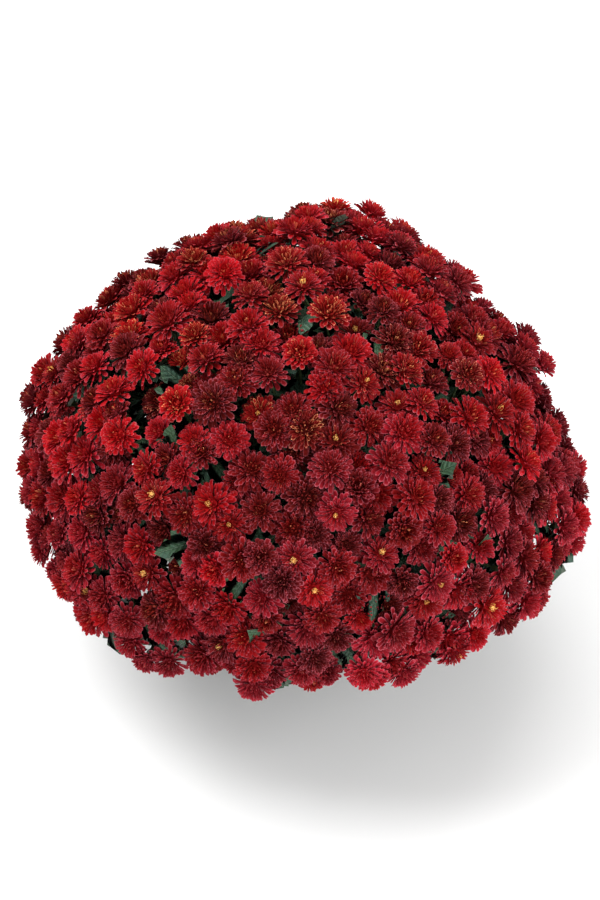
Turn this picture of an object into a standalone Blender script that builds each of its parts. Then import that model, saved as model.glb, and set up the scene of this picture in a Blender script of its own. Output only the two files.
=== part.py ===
"""A garden chrysanthemum in a plain nursery pot: a dome of red double blooms over leafy stems.

Units are metres, +Z is up, and the origin is on the floor under the middle of the pot.
The crown is a set of sprays. Each spray is one body of star-shaped blooms that touch at their
outer petals, tapering inwards to the tip of the leafy stem that carries it.
"""

import math
import random

import bmesh
import bpy
from mathutils import Matrix, Vector

# Pot
POT_HEIGHT = 0.142
POT_BASE_RADIUS = 0.080
POT_RIM_RADIUS = 0.110
POT_WALL = 0.0022
RIM_BAND_HEIGHT = 0.020
RIM_STEP = 0.0040
FOOT_WIDTH = 0.008
FOOT_HEIGHT = 0.0025
PAD_RADIUS = 0.032
POT_SIDES = 26
DRAIN_HOLES = 5
DRAIN_HOLE_RADIUS = 0.0055
DRAIN_HOLE_CIRCLE = 0.055

# Soil
SOIL_LEVEL = 0.125
SOIL_MOUND = 0.004
CLEARANCE = 0.0003
STEM_HOLE_DEPTH = 0.014
STEM_HOLE_ROOM = 0.0007

# Crown of blooms. The ghosts carry the pattern on below the skirt and grow no bloom.
CROWN_RADIUS = 0.232
CROWN_RISE = 0.225
CROWN_CURL = 0.120
WIDEST_HEIGHT = 0.160
SKIRT_ANGLE = math.radians(98)
BLOOMS = 572
BLOOM_JITTER = 0.20
BLOOM_SINK = 0.009
SEED = 6
SPRAYS = 17
GHOSTS = 90

# One bloom, as depths below its middle
PETAL_REACH = 0.86
PETAL_DROP = 0.0055
EDGE_DROP = 0.0125
CORNER_DROP = 0.0145
BORDER_DROP = 0.0180
BORDER_GAP = 0.0006
SPRAY_DEPTH = 0.064

# Stems and leaves
STEM_SIDES = 5
STEM_BASE_RADIUS = 0.0042
STEM_TIP_RADIUS = 0.0024
STEM_CIRCLE = 0.068
STEM_COLLAR = 0.003
STEM_SHARES = (0.40, 0.72, 1.0)
LEAF_LENGTH = 0.054
LEAF_THICKNESS = 0.0018
LEAF_DROOP = 0.16
LEAF_FOLD = 0.10

GOLDEN_ANGLE = math.pi * (3 - math.sqrt(5))
CROWN_CENTRE = Vector((0, 0, WIDEST_HEIGHT))

# The dome isn't quite round. Each swelling or hollow: bearing and height of its middle in
# degrees, how far it stands out as a share of the radius, and how wide it spreads.
SWELLINGS = (
    (-4, -4, 0.055, 0.03),
    (18, 13, -0.065, 0.03),
    (36, 32, -0.055, 0.03),
    (75, 47, 0.050, 0.03),
    (135, 38, -0.030, 0.03),
    (166, 15, 0.040, 0.03),
    (-140, -8, 0.035, 0.03),
    (-35, -8, 0.015, 0.03),
)


def towards(bearing, height):
    """The direction at a bearing from +X and a height above the horizon, both in radians."""
    level = math.cos(height)
    return Vector((level * math.cos(bearing), level * math.sin(bearing), math.sin(height)))


def swelling(direction):
    """How far the dome stands out in this direction, as a share of its radius."""
    total = 0.0
    for bearing, height, share, spread in SWELLINGS:
        middle = towards(math.radians(bearing), math.radians(height))
        total += share * math.exp((direction.dot(middle) - 1) / spread)
    return total


def crown_point(direction, depth=0.0):
    """The point at this depth below the dome's surface, straight towards its middle."""
    rise = CROWN_RISE if direction.z > 0 else CROWN_CURL
    stretch = 1 + swelling(direction)
    out = Vector((CROWN_RADIUS * direction.x, CROWN_RADIUS * direction.y, rise * direction.z))
    out *= stretch
    return CROWN_CENTRE + out * (1 - depth / out.length)


def inside_point(outwards, depth):
    """The point at this depth below the dome's surface along a real direction from its middle."""
    rise = CROWN_RISE if outwards.z > 0 else CROWN_CURL
    direction = Vector((outwards.x / CROWN_RADIUS, outwards.y / CROWN_RADIUS, outwards.z / rise))
    return crown_point(direction.normalized(), depth)


def spiral_directions(count, covered, jitter=0.0, rng=None, extra=0):
    """Evenly spread directions from the top down to the angle covered, on a golden spiral."""
    on_sphere = 2 * count / (1 - math.cos(covered))
    spacing = math.sqrt(4 * math.pi / on_sphere)
    found = []
    for i in range(count + extra):
        polar = math.acos(1 - (2 * i + 1) / on_sphere)
        bearing = i * GOLDEN_ANGLE
        if jitter and i < count:
            sine = max(math.sin(polar), 0.2)
            polar += rng.uniform(-1, 1) * jitter * spacing
            bearing += rng.uniform(-1, 1) * jitter * spacing / sine
        found.append(towards(bearing, math.pi / 2 - polar))
    return found


def neighbour_triangles(directions):
    """The triangles between neighbouring directions, from the hull of their points."""
    hull = bmesh.new()
    for i, direction in enumerate(directions):
        hull.verts.new(direction).index = i
    hull.verts.ensure_lookup_table()
    number = {tuple(vert.co): i for i, vert in enumerate(hull.verts)}
    bmesh.ops.convex_hull(hull, input=hull.verts)
    bmesh.ops.triangulate(hull, faces=hull.faces)
    found = []
    for face in hull.faces:
        corners = [number[tuple(vert.co)] for vert in face.verts]
        a, b, c = (directions[i] for i in corners)
        outwards = (b - a).cross(c - a).dot(a + b + c) > 0
        found.append(tuple(corners if outwards else reversed(corners)))
    hull.free()
    return found


def share_out(directions, triangles, centres):
    """The spray that each bloom belongs to: the nearest, then the one most neighbours are in."""
    owner = [max(range(len(centres)), key=lambda k: d.dot(centres[k])) for d in directions]
    beside = [set() for _ in directions]
    for triangle in triangles:
        for i in triangle:
            beside[i].update(triangle)
    for _ in range(3):
        for i, near in enumerate(beside):
            votes = [owner[j] for j in near if j < BLOOMS and j != i]
            if votes.count(owner[i]) * 3 < len(votes):
                owner[i] = max(sorted(set(votes)), key=votes.count)
    return owner


def crossing(a, b, c, d):
    """Where the arc from a to b crosses the arc from c to d."""
    found = a.cross(b).cross(c.cross(d)).normalized()
    return found if found.dot(a + b) > 0 else -found


def middle_of_spray(loop):
    """A direction from which every edge of the spray's border is seen from inside."""
    sides = [a.cross(b).normalized() for a, b in loop]
    best = sum((a for a, _ in loop), Vector()).normalized()
    for step in range(600):
        nearest = min(sides, key=best.dot)
        best = (best + nearest * 0.04 / (1 + 0.05 * step)).normalized()
    return best


def material(name, colour, roughness):
    made = bpy.data.materials.new(name)
    made.use_nodes = True
    shader = made.node_tree.nodes["Principled BSDF"]
    shader.inputs["Base Color"].default_value = (*colour, 1)
    shader.inputs["Roughness"].default_value = roughness
    shader.inputs["Metallic"].default_value = 0
    return made


def new_object(name, mesh, surface):
    made = bpy.data.objects.new(name, mesh)
    made.data.materials.append(surface)
    bpy.context.scene.collection.objects.link(made)
    return made


def mesh_of(name, shape):
    bmesh.ops.recalc_face_normals(shape, faces=shape.faces)
    mesh = bpy.data.meshes.new(name)
    shape.to_mesh(mesh)
    shape.free()
    return mesh


def apply_modifiers(target):
    """Keeps the mesh that the modifiers make, and drops them."""
    bpy.context.view_layer.update()
    graph = bpy.context.evaluated_depsgraph_get()
    mesh = bpy.data.meshes.new_from_object(target.evaluated_get(graph))
    target.modifiers.clear()
    target.data = mesh


def boolean(target, others, operation):
    """Joins the other objects to the target, or cuts them from it, and removes them."""
    group = bpy.data.collections.new("group")
    bpy.context.scene.collection.children.link(group)
    for other in others:
        bpy.context.scene.collection.objects.unlink(other)
        group.objects.link(other)
    step = target.modifiers.new(operation, "BOOLEAN")
    step.operation = operation
    step.operand_type = "COLLECTION"
    step.collection = group
    apply_modifiers(target)
    for other in others:
        bpy.data.objects.remove(other)
    bpy.data.collections.remove(group)


def shade_round(target):
    """Shades smooth, with its edges over 30 degrees kept sharp."""
    target.data.shade_smooth()
    target.data.set_sharp_from_angle(angle=math.radians(30))


def turned(name, profile, sides):
    """A closed body turned from (radius, height) points, both ends of them on the axis."""
    shape = bmesh.new()
    points = [shape.verts.new((radius, 0, height)) for radius, height in profile]
    edges = [shape.edges.new(pair) for pair in zip(points, points[1:])]
    bmesh.ops.spin(
        shape,
        geom=points + edges,
        axis=(0, 0, 1),
        cent=(0, 0, 0),
        angle=2 * math.pi,
        steps=sides,
        use_merge=True,
    )
    bmesh.ops.remove_doubles(shape, verts=shape.verts, dist=1e-6)
    return mesh_of(name, shape)


def prism(name, sides, radius, low, high):
    """An upright prism with one corner towards +Y."""
    shape = bmesh.new()
    bmesh.ops.create_cone(
        shape,
        cap_ends=True,
        segments=sides,
        radius1=radius,
        radius2=radius,
        depth=high - low,
        matrix=Matrix.Translation((0, 0, (low + high) / 2)),
    )
    return mesh_of(name, shape)


def pot_wall_radius(height):
    """The outer radius of the pot's tapered wall at this height, rim band left out."""
    share = height / POT_HEIGHT
    return POT_BASE_RADIUS + (POT_RIM_RADIUS - RIM_STEP - POT_BASE_RADIUS) * share


def make_pot(surface):
    """A thin moulded pot: a middle pad and a foot ring, a tapered wall, a rim band, drain holes."""
    band = POT_HEIGHT - RIM_BAND_HEIGHT
    inner_rim = POT_RIM_RADIUS - POT_WALL
    floor = FOOT_HEIGHT + POT_WALL
    profile = (
        (0, 0),
        (PAD_RADIUS, 0),
        (PAD_RADIUS + FOOT_HEIGHT, FOOT_HEIGHT),
        (POT_BASE_RADIUS - FOOT_WIDTH, FOOT_HEIGHT),
        (POT_BASE_RADIUS - FOOT_WIDTH + FOOT_HEIGHT, 0),
        (POT_BASE_RADIUS, 0),
        (pot_wall_radius(band), band),
        (POT_RIM_RADIUS - RIM_STEP / 4, band + RIM_STEP / 4),
        (POT_RIM_RADIUS, POT_HEIGHT),
        (inner_rim, POT_HEIGHT),
        (pot_wall_radius(band) - POT_WALL, band),
        (pot_wall_radius(floor) - POT_WALL, floor),
        (0, floor),
    )
    pot = new_object("pot", turned("pot", profile, POT_SIDES), surface)
    cutters = []
    for i in range(DRAIN_HOLES):
        mesh = prism("drain_hole", 6, DRAIN_HOLE_RADIUS, -FOOT_HEIGHT, 3 * floor)
        turn = Matrix.Rotation(2 * math.pi * (i + 0.5) / DRAIN_HOLES, 4, "Z")
        mesh.transform(turn @ Matrix.Translation((DRAIN_HOLE_CIRCLE, 0, 0)))
        cutters.append(new_object("drain_hole", mesh, surface))
    boolean(pot, cutters, "DIFFERENCE")
    shade_round(pot)


def make_soil(surface, stem_feet):
    """The potting mix, filling the pot to below its rim, with a hole for each stem."""
    floor = FOOT_HEIGHT + POT_WALL + CLEARANCE
    inside = POT_WALL + 2 * CLEARANCE
    profile = (
        (0, floor),
        (pot_wall_radius(floor) - inside, floor),
        (pot_wall_radius(SOIL_LEVEL - SOIL_MOUND) - inside, SOIL_LEVEL - SOIL_MOUND),
        (STEM_CIRCLE + 3 * STEM_BASE_RADIUS, SOIL_LEVEL),
        (0, SOIL_LEVEL),
    )
    soil = new_object("soil", turned("soil", profile, POT_SIDES), surface)
    cutters = []
    for foot in stem_feet:
        radius = STEM_BASE_RADIUS + STEM_HOLE_ROOM
        low = SOIL_LEVEL - STEM_HOLE_DEPTH
        mesh = prism("stem_hole", STEM_SIDES, radius, low, SOIL_LEVEL + STEM_HOLE_DEPTH)
        mesh.transform(Matrix.Translation((foot.x, foot.y, 0)))
        cutters.append(new_object("stem_hole", mesh, surface))
    boolean(soil, cutters, "DIFFERENCE")


def make_spray(name, surface, members, owner, triangles, directions, sinks):
    """One spray of blooms as a closed body. Returns the point where its stem meets it.

    Seen from the dome's middle the blooms tile the spray's patch. A bloom is a raised middle,
    a petal ridge towards each neighbour and a valley towards each corner between three blooms.
    Under them the body tapers from the patch's border to a point."""
    own = set(members)
    shape = bmesh.new()
    made = {}

    def vert(key, direction, depth):
        if key not in made:
            made[key] = shape.verts.new(crown_point(direction, depth))
        return made[key]

    def corner_direction(triangle):
        return sum((directions[i] for i in triangle), Vector()).normalized()

    beside = {}
    for triangle in triangles:
        for k in range(3):
            beside[triangle[k], triangle[(k + 1) % 3]] = triangle

    def corner(triangle):
        """The corner between three blooms, drawn in a little where another spray meets it."""
        direction = corner_direction(triangle)
        sink = sum(sinks[i] for i in triangle) / 3
        inside = [i for i in triangle if i in own]
        if len(inside) == 3:
            return vert(("corner", frozenset(triangle)), direction, sink + CORNER_DROP)
        pull = sum((directions[i] for i in inside), Vector()) / len(inside) - direction
        moved = (direction + pull.normalized() * BORDER_GAP / CROWN_RADIUS).normalized()
        return vert(("corner", frozenset(triangle)), moved, sink + BORDER_DROP)

    border = []
    for (a, b), left in beside.items():
        if a not in own:
            continue
        right = beside[b, a]
        edge_left, edge_right = corner_direction(left), corner_direction(right)
        cross = crossing(directions[a], directions[b], edge_left, edge_right)
        middle = vert(("middle", a), directions[a], sinks[a])
        reach = directions[a].lerp(cross, PETAL_REACH).normalized()
        petal = vert(("petal", a, b), reach, sinks[a] + PETAL_DROP)
        low_left, low_right = corner(left), corner(right)
        shape.faces.new((middle, petal, low_left))
        shape.faces.new((middle, low_right, petal))
        if b in own:
            between = (sinks[a] + sinks[b]) / 2 + EDGE_DROP
            edge = vert(("edge", frozenset((a, b))), cross, between)
            shape.faces.new((petal, edge, low_left))
            shape.faces.new((petal, low_right, edge))
        else:
            shape.faces.new((petal, low_right, low_left))
            border.append((low_right, low_left))

    loop = [tuple((v.co - CROWN_CENTRE).normalized() for v in pair) for pair in border]
    outwards = middle_of_spray(loop)
    tip = shape.verts.new(inside_point(outwards, SPRAY_DEPTH))
    seat = tip.co.copy()
    for low_right, low_left in border:
        shape.faces.new((low_left, low_right, tip))
    new_object(name, mesh_of(name, shape), surface)
    return seat


def stem_foot(seat):
    """Where the stem of a spray leaves the soil: further out for a lower spray."""
    out = seat - CROWN_CENTRE
    polar = math.acos(max(-1, min(1, out.normalized().z)))
    level = Vector((out.x, out.y, 0)).normalized()
    foot = level * STEM_CIRCLE * min(1, polar / SKIRT_ANGLE)
    foot.z = SOIL_LEVEL + STEM_COLLAR
    return foot


def stem_curve(seat):
    """A function of 0 to 1 for the stem's middle line above the soil: upright, then outwards."""
    foot = stem_foot(seat)
    outwards = (seat - CROWN_CENTRE).normalized()
    tip = seat - outwards * CLEARANCE
    rise = Vector((0, 0, max(0.050, 0.35 * (tip.z - foot.z))))
    handles = (foot, foot + rise, tip - outwards * 0.050, tip)

    def at(share):
        rest = 1 - share
        weights = (rest**3, 3 * rest**2 * share, 3 * rest * share**2, share**3)
        return sum((h * w for h, w in zip(handles, weights)), Vector())

    return at


def stem_mesh(name, at):
    """A tapered five-sided stem along the curve, upright in the soil, its end across the curve."""
    shape = bmesh.new()
    sunk = at(0) - Vector((0, 0, STEM_COLLAR + STEM_HOLE_DEPTH - CLEARANCE))
    steps = [(sunk, Vector((0, 0, 1)), 0), (at(0), Vector((0, 0, 1)), 0)]
    for share in STEM_SHARES:
        along = at(min(share + 0.01, 1)) - at(share - 0.01)
        steps.append((at(share), along.normalized(), share))
    rings = []
    for place, along, share in steps:
        turn = Vector((0, 0, 1)).rotation_difference(along).to_matrix()
        radius = STEM_BASE_RADIUS + (STEM_TIP_RADIUS - STEM_BASE_RADIUS) * share
        corners = []
        for side in range(STEM_SIDES):
            angle = 2 * math.pi * side / STEM_SIDES
            offset = Vector((math.sin(angle), math.cos(angle), 0)) * radius
            corners.append(shape.verts.new(place + turn @ offset))
        rings.append(corners)
    for low, high in zip(rings, rings[1:]):
        for i in range(STEM_SIDES):
            j = (i + 1) % STEM_SIDES
            shape.faces.new((low[i], low[j], high[j], high[i]))
    shape.faces.new(rings[0])
    shape.faces.new(rings[-1])
    return mesh_of(name, shape)


# Half of a lobed leaf's outline, as shares of its length along and across, base to tip.
LEAF_SIDE = ((0.00, 0.035), (0.36, 0.27), (0.45, 0.14), (0.66, 0.31), (0.76, 0.15))
LEAF_RIB = (0.00, 0.33, 0.68)


def leaf_mesh(name, length):
    """A lobed leaf along +X: a thin lens with its ridge on the midrib, arched downwards."""
    shape = bmesh.new()

    def point(along, across, up):
        sag = LEAF_DROOP * along * along
        fold = LEAF_FOLD * abs(across)
        return shape.verts.new((along * length, across * length, (fold - sag) * length + up))

    left = [point(along, across, 0) for along, across in LEAF_SIDE]
    right = [point(along, -across, 0) for along, across in LEAF_SIDE]
    tip = point(1, 0, 0)
    upper = [point(along, 0, LEAF_THICKNESS / 2) for along in LEAF_RIB]
    lower = [point(along, 0, -LEAF_THICKNESS / 2) for along in LEAF_RIB]
    for rib in (upper, lower):
        for side in (left, right):
            shape.faces.new((rib[0], side[0], side[1]))
            shape.faces.new((rib[0], side[1], rib[1]))
            shape.faces.new((rib[1], side[1], side[2]))
            shape.faces.new((rib[1], side[2], rib[2]))
            shape.faces.new((rib[2], side[2], side[3]))
            shape.faces.new((rib[2], side[3], side[4]))
            shape.faces.new((rib[2], side[4], tip))
    shape.faces.new((upper[0], left[0], lower[0], right[0]))
    return mesh_of(name, shape)


def leaf_matrix(base, out, up):
    """Puts a leaf's base at a point, its length along out and its upper face towards up."""
    along = out.normalized()
    across = up.cross(along).normalized()
    upper = along.cross(across)
    turn = Matrix((along, across, upper)).transposed().to_4x4()
    return Matrix.Translation(base) @ turn


# Where leaves grow on a low stem that leans over the rim and on an upright one inside the
# dome: share of the stem's length, sideways, outwards and upwards lean, and size.
LOW_LEAVES = (
    (0.60, 1.00, 0.35, -0.35, 0.85),
    (0.68, -1.00, 0.45, -0.35, 0.90),
    (0.77, 0.55, 0.55, -0.75, 1.00),
    (0.86, -0.60, 0.60, -0.85, 0.95),
)
HIGH_LEAVES = ((0.62, 0.90, 0.50, 0.10, 0.80),)
LOW_SPRAY = math.radians(62)


def make_stem(name, surface, seat):
    """The leafy stem of one spray, from its hole in the soil to the spray's underside."""
    at = stem_curve(seat)
    stem = new_object(name, stem_mesh(name, at), surface)
    out = seat - CROWN_CENTRE
    low = math.acos(max(-1, min(1, out.normalized().z))) > LOW_SPRAY
    level = Vector((out.x, out.y, 0)).normalized()
    sideways = Vector((-level.y, level.x, 0))
    leaves = []
    for share, side, outwards, upwards, size in LOW_LEAVES if low else HIGH_LEAVES:
        lean = sideways * side + level * outwards + Vector((0, 0, upwards))
        mesh = leaf_mesh("leaf", LEAF_LENGTH * size)
        mesh.transform(leaf_matrix(at(share), lean, Vector((0, 0, 1)) + level * 0.6))
        leaves.append(new_object("leaf", mesh, surface))
    boolean(stem, leaves, "UNION")
    shade_round(stem)


def main():
    for leftover in list(bpy.data.objects):
        bpy.data.objects.remove(leftover)
    rng = random.Random(SEED)
    directions = spiral_directions(BLOOMS, SKIRT_ANGLE, BLOOM_JITTER, rng, GHOSTS)
    sinks = [BLOOM_SINK * rng.random() ** 1.5 for _ in range(BLOOMS)] + [0.0] * GHOSTS
    triangles = neighbour_triangles(directions)
    centres = spiral_directions(SPRAYS, SKIRT_ANGLE)
    owner = share_out(directions, triangles, centres)

    plastic = material("pot_plastic", (0.035, 0.040, 0.038), 0.55)
    mix = material("potting_mix", (0.045, 0.028, 0.018), 0.95)
    petals = material("red_petals", (0.33, 0.008, 0.018), 0.55)
    green = material("leaf_green", (0.025, 0.075, 0.030), 0.60)

    seats = []
    for k in range(SPRAYS):
        members = [i for i in range(BLOOMS) if owner[i] == k]
        name = f"blooms_{k + 1:02d}"
        seats.append(make_spray(name, petals, members, owner, triangles, directions, sinks))
    for k, seat in enumerate(seats):
        make_stem(f"stem_{k + 1:02d}", green, seat)
    make_soil(mix, [stem_foot(seat) for seat in seats])
    make_pot(plastic)


main()
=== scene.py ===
"""A garden chrysanthemum in its nursery pot: a dome of dark red double blooms over leafy stems."""

import math
import random

import bmesh
import bpy
import numpy as np
from mathutils import Matrix, Vector, kdtree, noise


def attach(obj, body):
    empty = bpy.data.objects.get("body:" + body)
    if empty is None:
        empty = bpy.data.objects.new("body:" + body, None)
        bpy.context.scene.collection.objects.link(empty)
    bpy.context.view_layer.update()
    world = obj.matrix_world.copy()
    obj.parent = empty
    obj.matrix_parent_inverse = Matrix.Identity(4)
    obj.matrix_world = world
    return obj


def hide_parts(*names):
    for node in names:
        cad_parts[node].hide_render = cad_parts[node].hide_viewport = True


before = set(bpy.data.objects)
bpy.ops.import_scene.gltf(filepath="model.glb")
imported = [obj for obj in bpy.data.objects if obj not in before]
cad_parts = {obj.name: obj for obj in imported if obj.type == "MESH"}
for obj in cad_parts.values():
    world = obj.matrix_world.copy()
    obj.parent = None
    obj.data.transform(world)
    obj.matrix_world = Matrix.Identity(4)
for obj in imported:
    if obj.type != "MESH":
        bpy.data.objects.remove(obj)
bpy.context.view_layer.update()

UP = Vector((0, 0, 1))


# The pot is a thin-walled nursery pot, moulded in one piece from black plastic. It tapers to a
# foot ring and a middle pad with drain holes between them, and has a deep band under a rolled
# rim. It only stands on the floor, so nothing fixes it.
POT_HEIGHT = 0.142
POT_BASE_RADIUS = 0.080
POT_RIM_RADIUS = 0.110
POT_WALL = 0.0022
POT_SIDES = 96
RIM_BAND_HEIGHT = 0.020
RIM_STEP = 0.0040
FOOT_WIDTH = 0.008
FOOT_HEIGHT = 0.0025
PAD_RADIUS = 0.032
DRAIN_HOLES = 5
DRAIN_HOLE_RADIUS = 0.0055
DRAIN_HOLE_CIRCLE = 0.055
DRAIN_HOLE_SIDES = 24

# The raised line round the foot of the wall: its lower and upper end, its slopes, its thickness.
LINE_LOW = 0.012
LINE_HIGH = 0.015
LINE_SLOPE = 0.0008
LINE_PROUD = 0.0006

# The rolled rim's section: how far out from the lip, and how far below the top.
LIP_INSET = 0.0016
RIM_ROLL = (
    (0, 0.0042), (0.0012, 0.0036), (LIP_INSET, 0.0022), (0.0012, 0.0006), (0, 0),
    (-LIP_INSET, 0.0006),
)

PLASTIC_BLACK = (0.012, 0.013, 0.013)
PLASTIC_WORN = (0.019, 0.020, 0.019)
DUST = (0.085, 0.066, 0.048)
SPLASH_HEIGHT = 0.030


def wall_radius(height):
    """The outer radius of the pot's tapered wall at this height, rim band left out."""
    taper = POT_RIM_RADIUS - RIM_STEP - POT_BASE_RADIUS
    return POT_BASE_RADIUS + taper * height / POT_HEIGHT


def turned(profile, sides):
    """A closed shape turned from (radius, height) points, both ends of them on the axis."""
    shape = bmesh.new()
    points = [shape.verts.new((radius, 0, height)) for radius, height in profile]
    edges = [shape.edges.new(pair) for pair in zip(points, points[1:])]
    bmesh.ops.spin(
        shape,
        geom=points + edges,
        axis=(0, 0, 1),
        cent=(0, 0, 0),
        angle=2 * math.pi,
        steps=sides,
        use_merge=True,
    )
    bmesh.ops.remove_doubles(shape, verts=shape.verts, dist=1e-6)
    bmesh.ops.recalc_face_normals(shape, faces=shape.faces)
    return shape


def as_mesh(name, shape):
    """Turns a finished shape into a mesh."""
    mesh = bpy.data.meshes.new(name)
    shape.to_mesh(mesh)
    shape.free()
    return mesh


def put(name, data):
    """Puts a mesh, curve, light or camera into the scene."""
    thing = bpy.data.objects.new(name, data)
    bpy.context.scene.collection.objects.link(thing)
    return thing


def new_piece(name, shape, surface, node, smooth_under=40):
    """Makes the shape a piece of the object that stands for a node of the frame."""
    piece = put(name, as_mesh(name, shape))
    piece.data.materials.append(surface)
    piece.data.shade_smooth()
    piece.data.set_sharp_from_angle(angle=math.radians(smooth_under))
    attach(piece, "root")
    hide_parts(node)


class Surface:
    """A material that is built up node by node from its Principled BSDF."""

    def __init__(self, name, roughness, **settings):
        self.material = bpy.data.materials.new(name)
        self.material.use_nodes = True
        self.tree = self.material.node_tree
        self.shader = self.tree.nodes["Principled BSDF"]
        self.shader.inputs["Roughness"].default_value = roughness
        for socket, value in settings.items():
            self.shader.inputs[socket.replace("_", " ")].default_value = value

    def node(self, kind, settings=None, **inputs):
        """A new node with its settings, and its inputs set or linked by socket name."""
        made = self.tree.nodes.new(kind)
        for name, value in (settings or {}).items():
            setattr(made, name, value)
        for name, value in inputs.items():
            self.feed(made.inputs[name.replace("_", " ")], value)
        return made

    def feed(self, socket, value):
        if isinstance(value, bpy.types.NodeSocket):
            self.tree.links.new(value, socket)
        else:
            socket.default_value = value

    def place(self):
        return self.node("ShaderNodeTexCoord").outputs["Object"]

    def noise(self, scale, detail=2.0, vector=None, roughness=0.5):
        place = vector or self.place()
        made = self.node("ShaderNodeTexNoise", Vector=place, Scale=scale, Detail=detail)
        self.feed(made.inputs["Roughness"], roughness)
        return made.outputs["Fac"]

    def ramp(self, value, low, high, start=0.0, end=1.0):
        """The value run smoothly from start to end as it goes from low to high."""
        made = self.node("ShaderNodeMapRange", {"interpolation_type": "SMOOTHSTEP"}, Value=value)
        for socket, number in zip(("From Min", "From Max", "To Min", "To Max"), (low, high, start, end)):
            made.inputs[socket].default_value = number
        return made.outputs["Result"]

    def times(self, first, second):
        return self.math("MULTIPLY", first, second)

    def math(self, operation, first, second):
        made = self.node("ShaderNodeMath", {"operation": operation})
        self.feed(made.inputs[0], first)
        self.feed(made.inputs[1], second)
        return made.outputs[0]

    def mix(self, share, first, second, blend="MIX"):
        made = self.node("ShaderNodeMix", {"data_type": "RGBA", "blend_type": blend})
        for k, value in ((0, share), (6, first), (7, second)):
            if isinstance(value, tuple):
                value = (*value, 1.0)
            self.feed(made.inputs[k], value)
        return made.outputs[2]

    def bump(self, height, distance, strength=1.0):
        made = self.node("ShaderNodeBump", Height=height, Distance=distance, Strength=strength)
        self.tree.links.new(made.outputs["Normal"], self.shader.inputs["Normal"])

    def colour(self, value):
        self.feed(self.shader.inputs["Base Color"], value)
        return self.material


def drilled(shape, holes, radius, circle, low, high):
    """Cuts upright holes, evenly round a circle, through the shape."""
    blank = put("blank", as_mesh("blank", shape))
    drill = bmesh.new()
    for i in range(holes):
        turn = Matrix.Rotation(2 * math.pi * (i + 0.5) / holes, 4, "Z")
        middle = turn @ Matrix.Translation((circle, 0, (low + high) / 2))
        bmesh.ops.create_cone(
            drill,
            cap_ends=True,
            segments=DRAIN_HOLE_SIDES,
            radius1=radius,
            radius2=radius,
            depth=high - low,
            matrix=middle,
        )
    tool = put("drill", as_mesh("drill", drill))
    cut = blank.modifiers.new("holes", "BOOLEAN")
    cut.operation = "DIFFERENCE"
    cut.object = tool
    bpy.context.view_layer.update()
    done = blank.evaluated_get(bpy.context.evaluated_depsgraph_get()).to_mesh()
    result = bmesh.new()
    result.from_mesh(done)
    for used in (blank, tool):
        bpy.data.objects.remove(used)
    return result


def pot_profile():
    """The pot's section from the middle of its underside, over the rim, to its inner floor."""
    band = POT_HEIGHT - RIM_BAND_HEIGHT
    floor = FOOT_HEIGHT + POT_WALL
    lip = POT_RIM_RADIUS - LIP_INSET
    foot_inside = POT_BASE_RADIUS - FOOT_WIDTH
    return (
        (0, 0),
        (PAD_RADIUS, 0),
        (PAD_RADIUS + FOOT_HEIGHT, FOOT_HEIGHT),
        (foot_inside, FOOT_HEIGHT),
        (foot_inside + FOOT_HEIGHT, 0),
        (POT_BASE_RADIUS - 0.0015, 0),
        (POT_BASE_RADIUS - 0.0003, 0.0006),
        (wall_radius(0.002), 0.002),
        (wall_radius(LINE_LOW), LINE_LOW),
        (wall_radius(LINE_LOW + LINE_SLOPE) + LINE_PROUD, LINE_LOW + LINE_SLOPE),
        (wall_radius(LINE_HIGH - LINE_SLOPE) + LINE_PROUD, LINE_HIGH - LINE_SLOPE),
        (wall_radius(LINE_HIGH), LINE_HIGH),
        (wall_radius(band * 0.5), band * 0.5),
        (wall_radius(band - 0.001), band - 0.001),
        (wall_radius(band) + 0.0012, band - 0.0004),
        (POT_RIM_RADIUS - 0.0022, band + 0.0006),
        (POT_RIM_RADIUS - 0.0018, band + 0.002),
        *((lip + out, POT_HEIGHT - down) for out, down in RIM_ROLL),
        (POT_RIM_RADIUS - POT_WALL - 0.0012, POT_HEIGHT - 0.003),
        (wall_radius(band) - POT_WALL + 0.001, band),
        (wall_radius(band) - POT_WALL, band - 0.002),
        (wall_radius(floor) - POT_WALL, floor),
        (0, floor),
    )


def pot_plastic():
    look = Surface("pot_plastic", 0.5, Specular_IOR_Level=0.32)
    high = look.node("ShaderNodeSeparateXYZ", Vector=look.place()).outputs["Z"]
    splash = look.math("ADD", look.noise(60, 6), look.ramp(high, SPLASH_HEIGHT, 0.0, 0.0, 0.22))
    dust = look.ramp(splash, 0.56, 0.78)
    smudge = look.ramp(look.noise(14, 4), 0.40, 0.75)
    body = look.mix(smudge, PLASTIC_BLACK, PLASTIC_WORN)
    look.colour(look.mix(look.times(dust, 0.30), body, DUST))
    dull = look.ramp(look.math("ADD", smudge, dust), 0, 1.4, 0.40, 0.75)
    look.feed(look.shader.inputs["Roughness"], dull)
    look.bump(look.noise(1400, 2), 0.00010)
    return look.material


pot_shape = drilled(
    turned(pot_profile(), POT_SIDES),
    DRAIN_HOLES,
    DRAIN_HOLE_RADIUS,
    DRAIN_HOLE_CIRCLE,
    -FOOT_HEIGHT,
    3 * FOOT_HEIGHT + POT_WALL,
)
new_piece("pot_moulded", pot_shape, pot_plastic(), "pot", smooth_under=50)


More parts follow.
